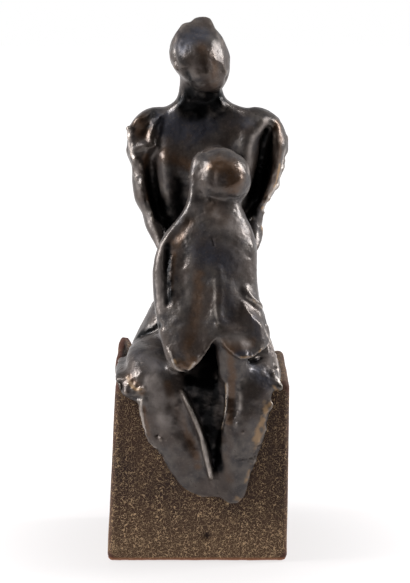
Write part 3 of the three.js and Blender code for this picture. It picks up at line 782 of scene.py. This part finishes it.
def model_block():
    """The block: slightly uneven slabs with chipped, rubbed-down edges, a dimple and a glazed lip."""
    clay = Clay("seat_block", "seat_slab_block", BLOCK_VOXEL)
    clay.smooth(times=4)
    clay.raise_by(clay.lumps(rise=0.45, size=22, seed=3, octaves=3))
    clay.carve(DIMPLE_PRESS)
    edge = clay.rims(times=10, low=0.1, high=0.5, spread=6)
    chips = clay_noise(clay.points, size=6 * MM, octaves=3, seed=11)
    wear = 1.1 * chips - 2.2 * smoothstep(chips, low=0.3, high=0.6)  # in mm, deepest at the chips
    clay.raise_by(edge * wear * MM)
    clay.masks["edge"] = smoothstep(edge * (1 + 0.5 * chips), low=0.1, high=0.5)
    clay.glaze("dimple", DIMPLE, 0.5 * chips, low=0.1, high=0.9)
    clay.glaze("lip", LIP, 0.5 * chips, low=0.15, high=0.7)
    clay.keep_inside()
    return clay


# Materials

def linear(code):
    """An sRGB hex colour as linear RGBA."""
    parts = [int(code[i:i + 2], 16) / 255 for i in (1, 3, 5)]
    return (*(c / 12.92 if c <= 0.04045 else ((c + 0.055) / 1.055) ** 2.4 for c in parts), 1)


def add_node(tree, kind, inputs=None, **settings):
    """Adds a node. An input is a number, a hex colour, or the node or output that feeds it."""
    node = tree.nodes.new(kind)
    for name, value in settings.items():
        setattr(node, name, value)
    for name, value in (inputs or {}).items():
        if isinstance(name, int):
            socket = node.inputs[name]
        else:
            socket = next(s for s in node.inputs if s.name == name and s.enabled)
        if isinstance(value, bpy.types.Node):
            value = next(s for s in value.outputs if s.enabled)
        if isinstance(value, bpy.types.NodeSocket):
            tree.links.new(value, socket)
        else:
            socket.default_value = linear(value) if isinstance(value, str) else value
    return node


def new_material(name):
    """An empty material and its node tree."""
    material = bpy.data.materials.new(name)
    material.use_nodes = True
    tree = material.node_tree
    tree.nodes.clear()
    return material, tree


def dark_glaze():
    """Bronze-black glaze, brushed on stoneware clay and fired.

    Its manganese and iron give near-black with a satin, half metallic sheen. It turns warm brown where
    it ran thin and leaves ochre clay bare on torn rims. Black is painted shade in hollows and creases,
    and pale lines and patches are painted highlights and sheen."""
    brushed = 7 * MM  # how far apart it is thick and thin
    flooded = 20 * MM  # how far apart it ran
    specks = 1.6 * MM  # iron specks are 0.5 mm, and are drawn this coarse to show
    dents = 3.2 * MM  # small dents of fired clay slip
    material, tree = new_material("bronze_black_glaze")
    place = add_node(tree, "ShaderNodeTexCoord").outputs["Object"]
    mask = {
        name: add_node(tree, "ShaderNodeAttribute", attribute_name=name).outputs["Fac"]
        for name in ("warm", "ochre", "pale", "blue", "black", "worn", "dull", "hollow", "edge")
    }
    cloud = add_node(tree, "ShaderNodeTexNoise", {"Vector": place, "Scale": 1 / brushed, "Detail": 6})
    mottle = add_node(
        tree, "ShaderNodeMapRange", {"Value": cloud, "From Min": 0.3, "From Max": 0.7},
        interpolation_type="SMOOTHSTEP",
    )
    drift = add_node(tree, "ShaderNodeTexNoise", {"Vector": place, "Scale": 1 / flooded, "Detail": 4})
    thin = add_node(
        tree, "ShaderNodeMapRange", {"Value": drift, "From Min": 0.42, "From Max": 0.62, "To Max": 0.7},
        interpolation_type="SMOOTHSTEP",
    )
    grit = add_node(tree, "ShaderNodeTexNoise", {"Vector": place, "Scale": 1 / specks, "Detail": 2})
    speck = add_node(
        tree, "ShaderNodeMapRange", {"Value": grit, "From Min": 0.55, "From Max": 0.75, "To Max": 0.5},
    )
    rim = add_node(tree, "ShaderNodeMath", {0: mask["edge"], 1: 0.45}, operation="MULTIPLY")
    colour = add_node(
        tree, "ShaderNodeMix", {"Factor": mottle, "A": "#343031", "B": "#524c48"}, data_type="RGBA",
    )
    layers = (
        (thin, "#413630"),
        (mask["blue"], "#3b3b43"),
        (mask["warm"], "#503c2d"),
        # bloom, and painted sheen and highlights
        (mask["pale"], "#746c68"),
        (speck, "#5d544d"),
        # painted shade in recesses, with the glaze that pools there
        (mask["hollow"], "#161516"),
        (rim, "#857a70"),
        (mask["ochre"], "#8a6f50"),
        # painted shade, black
        (mask["black"], "#0c0c0d"),
        # painted highlights along ridges and rims
        (mask["worn"], "#aba29b"),
    )
    for share, shade in layers:
        colour = add_node(
            tree, "ShaderNodeMix", {"Factor": share, "A": colour, "B": shade}, data_type="RGBA",
        )
    # Thick glaze is smoother. The bloom and painted sheen, bare clay and painted highlights are rougher,
    # and the crowns matt
    rough = add_node(
        tree, "ShaderNodeMapRange",
        {"Value": cloud, "From Min": 0.3, "From Max": 0.7, "To Min": 0.42, "To Max": 0.27},
    )
    dry = add_node(tree, "ShaderNodeMath", {0: mask["pale"], 1: mask["ochre"]}, operation="MAXIMUM")
    dry = add_node(tree, "ShaderNodeMath", {0: dry, 1: mask["worn"]}, operation="MAXIMUM")
    rough = add_node(tree, "ShaderNodeMath", {0: dry, 1: 0.16, 2: rough}, operation="MULTIPLY_ADD")
    rough = add_node(
        tree, "ShaderNodeMath", {0: mask["dull"], 1: 0.5, 2: rough}, operation="MULTIPLY_ADD",
    )
    # Where shade is painted, the glaze is nearly all metal and mirrors the dark walls round it. Bare clay
    # is hardly metal
    shaded = add_node(tree, "ShaderNodeMath", {0: mask["black"], 1: mask["hollow"]}, operation="MAXIMUM")
    metal = add_node(tree, "ShaderNodeMapRange", {"Value": shaded, "To Min": 0.45, "To Max": 0.9})
    metal = add_node(
        tree, "ShaderNodeMath", {0: mask["ochre"], 1: -0.35, 2: metal}, operation="MULTIPLY_ADD",
    )
    skin = add_node(tree, "ShaderNodeTexNoise", {"Vector": place, "Scale": 1 / dents, "Detail": 5})
    bump = add_node(tree, "ShaderNodeBump", {"Height": skin, "Strength": 0.8, "Distance": 0.4 * MM})
    shader = add_node(
        tree, "ShaderNodeBsdfPrincipled",
        {"Base Color": colour, "Roughness": rough, "Metallic": metal, "Normal": bump},
    )
    add_node(tree, "ShaderNodeOutputMaterial", {"Surface": shader})
    return material


def mottled_glaze():
    """Crawled ochre ash glaze on a dark slip: dry, and hardly glossy.

    It drew together into a net of pale worms over dark brown, densest low down where it gathered. On the
    edges and the foot the red-brown clay shows."""
    threads = 2.1 * MM  # from one worm of the net to the next
    patches = 12 * MM  # how far apart the net is strong and faint
    slip = 30 * MM  # how far apart the slip is dark and light
    trickles = 5 * MM  # between runs, which are ten times as long
    gathered = (10 * MM, 55 * MM)  # heights between which the net thins out,
    lighter_heights = (4 * MM, 50 * MM)  # a lighter tint fades away,
    bare = (1.5 * MM, 4 * MM)  # and the wiped foot ends
    material, tree = new_material("mottled_ochre_glaze")
    place = add_node(tree, "ShaderNodeTexCoord").outputs["Object"]
    mask = {
        name: add_node(tree, "ShaderNodeAttribute", attribute_name=name).outputs["Fac"]
        for name in ("edge", "lip", "dimple")
    }
    # The worms follow the lines along which a noise crosses its middle
    cloud = add_node(
        tree, "ShaderNodeTexNoise",
        {"Vector": place, "Scale": 1 / threads, "Detail": 0, "Distortion": 0.7},
    )
    centred = add_node(tree, "ShaderNodeMath", {0: cloud, 1: 0.5}, operation="SUBTRACT")
    crossing = add_node(tree, "ShaderNodeMath", {0: centred}, operation="ABSOLUTE")
    worm = add_node(
        tree, "ShaderNodeMapRange",
        {"Value": crossing, "From Min": 0.01, "From Max": 0.05, "To Min": 1, "To Max": 0},
        interpolation_type="SMOOTHSTEP",
    )
    drift = add_node(tree, "ShaderNodeTexNoise", {"Vector": place, "Scale": 1 / patches, "Detail": 4})
    patch = add_node(
        tree, "ShaderNodeMapRange", {"Value": drift, "From Min": 0.35, "From Max": 0.65, "To Min": 0.62},
    )
    level = add_node(tree, "ShaderNodeSeparateXYZ", {"Vector": place}).outputs["Z"]
    low = add_node(
        tree, "ShaderNodeMapRange",
        {"Value": level, "From Min": gathered[0], "From Max": gathered[1], "To Min": 1.8,
         "To Max": 0.74},
    )
    share = add_node(tree, "ShaderNodeMath", {0: worm, 1: patch}, operation="MULTIPLY")
    share = add_node(tree, "ShaderNodeMath", {0: share, 1: low}, operation="MULTIPLY", use_clamp=True)
    shade = add_node(tree, "ShaderNodeTexNoise", {"Vector": place, "Scale": 1 / slip, "Detail": 4})
    tone = add_node(tree, "ShaderNodeMapRange", {"Value": shade, "From Min": 0.38, "From Max": 0.62})
    drawn = add_node(tree, "ShaderNodeMapping", {"Vector": place, "Scale": (1, 1, 0.1)})
    runs = add_node(tree, "ShaderNodeTexNoise", {"Vector": drawn, "Scale": 1 / trickles, "Detail": 3})
    run = add_node(
        tree, "ShaderNodeMapRange",
        {"Value": runs, "From Min": 0.4, "From Max": 0.6, "To Min": 0.55, "To Max": 1.1},
    )
    share = add_node(tree, "ShaderNodeMath", {0: share, 1: run}, operation="MULTIPLY", use_clamp=True)
    # Lighter towards the bottom
    lighter_low = add_node(
        tree, "ShaderNodeMapRange",
        {"Value": level, "From Min": lighter_heights[0], "From Max": lighter_heights[1], "To Min": 0.6, "To Max": 0},
    )
    foot = add_node(
        tree, "ShaderNodeMapRange",
        {"Value": level, "From Min": bare[0], "From Max": bare[1], "To Min": 0.9, "To Max": 0},
    )
    colour = add_node(
        tree, "ShaderNodeMix", {"Factor": tone, "A": "#2d1b12", "B": "#3b271a"}, data_type="RGBA",
    )
    layers = (
        (mask["lip"], "#54402e"),
        (lighter_low, "#69503a"),
        (share, "#c9a981"),
        (mask["dimple"], "#2a1a12"),
        (mask["edge"], "#43261b"),
        (foot, "#96603f"),
    )
    for part, tint in layers:
        colour = add_node(
            tree, "ShaderNodeMix", {"Factor": part, "A": colour, "B": tint}, data_type="RGBA",
        )
    bump = add_node(tree, "ShaderNodeBump", {"Height": share, "Strength": 0.6, "Distance": 0.25 * MM})
    shader = add_node(
        tree, "ShaderNodeBsdfPrincipled",
        {"Base Color": colour, "Roughness": 0.7, "Specular IOR Level": 0.3, "Normal": bump},
    )
    add_node(tree, "ShaderNodeOutputMaterial", {"Surface": shader})
    return material


# Studio

def floor():
    """A plain sheet of pale paper, glowing to the edge of the frame and shaded round the block."""
    bpy.ops.object.select_all(action="DESELECT")
    bpy.ops.mesh.primitive_plane_add(size=1)
    plane = bpy.context.object
    plane.name = "studio_floor"
    plane.data.transform(Matrix.Translation(FLOOR_CENTRE) @ Matrix.Diagonal((*FLOOR_SIZE, 1, 1)))
    material, tree = new_material("pale_paper_floor")
    place = add_node(tree, "ShaderNodeTexCoord").outputs["Object"]
    away = add_node(tree, "ShaderNodeVectorMath", {0: place}, operation="LENGTH").outputs["Value"]
    glow = add_node(
        tree, "ShaderNodeMapRange",
        {"Value": away, "From Min": CONTACT_SHADE[0], "From Max": CONTACT_SHADE[1], "To Min": 0.72,
         "To Max": 1.03},
        interpolation_type="SMOOTHSTEP",
    )
    shader = add_node(
        tree, "ShaderNodeBsdfPrincipled",
        {"Base Color": "#5e5c5c", "Roughness": 0.7, "Emission Color": "#fffdfd",
         "Emission Strength": glow},
    )
    add_node(tree, "ShaderNodeOutputMaterial", {"Surface": shader})
    plane.data.materials.append(material)


def softbox(name, place, width, height, power):
    """A soft rectangular light that faces the figures."""
    lamp = bpy.data.lights.new(name, "AREA")
    lamp.shape = "RECTANGLE"
    lamp.size = width
    lamp.size_y = height
    lamp.energy = power
    light = bpy.data.objects.new(name, lamp)
    light.location = place
    light.rotation_euler = (AIM - Vector(place)).to_track_quat("-Z", "Y").to_euler()
    bpy.context.scene.collection.objects.link(light)


def studio():
    """White paper all round, and the softboxes. The clay sees the paper dim overhead and in front."""
    world = bpy.data.worlds.new("studio")
    bpy.context.scene.world = world
    world.use_nodes = True
    tree = world.node_tree
    tree.nodes.clear()
    way = add_node(tree, "ShaderNodeTexCoord").outputs["Generated"]
    parts = add_node(tree, "ShaderNodeSeparateXYZ", {"Vector": way})
    behind = add_node(
        tree, "ShaderNodeMapRange",
        {"Value": parts.outputs["Y"], "From Min": -0.7, "From Max": 0.6, "To Min": 0.03, "To Max": 0.8},
        interpolation_type="SMOOTHSTEP",
    )
    above = add_node(
        tree, "ShaderNodeMapRange",
        {"Value": parts.outputs["Z"], "From Min": 0.15, "From Max": 0.8, "To Min": 1, "To Max": 0.3},
        interpolation_type="SMOOTHSTEP",
    )
    shade = add_node(tree, "ShaderNodeMath", {0: behind, 1: above}, operation="MULTIPLY")
    dim = add_node(tree, "ShaderNodeBackground", {"Color": "#f6f5f7", "Strength": shade})
    paper = add_node(tree, "ShaderNodeBackground", {"Color": "#ffffff", "Strength": 1})
    seen = add_node(tree, "ShaderNodeLightPath").outputs["Is Camera Ray"]
    mix = add_node(tree, "ShaderNodeMixShader", {0: seen, 1: dim, 2: paper})
    add_node(tree, "ShaderNodeOutputWorld", {"Surface": mix})
    for name, box in SOFTBOXES.items():
        softbox(name, *box)


def camera():
    """The camera at the photograph's viewing angle and distance."""
    view = bpy.data.cameras.new("photograph_view")
    view.sensor_width = SENSOR
    view.lens = SENSOR * DISTANCE / (PIXEL * FRAME_SIZE[1])
    stand = bpy.data.objects.new("photograph_view", view)
    stand.location = EYE
    stand.rotation_euler = (math.pi / 2 - TILT, 0, 0)
    bpy.context.scene.collection.objects.link(stand)
    bpy.context.scene.camera = stand


camera()
studio()
floor()
bpy.context.scene.view_settings.view_transform = "Standard"
model_figures().finish(dark_glaze(), "dark_glaze")
model_block().finish(mottled_glaze(), "mottled_glaze")
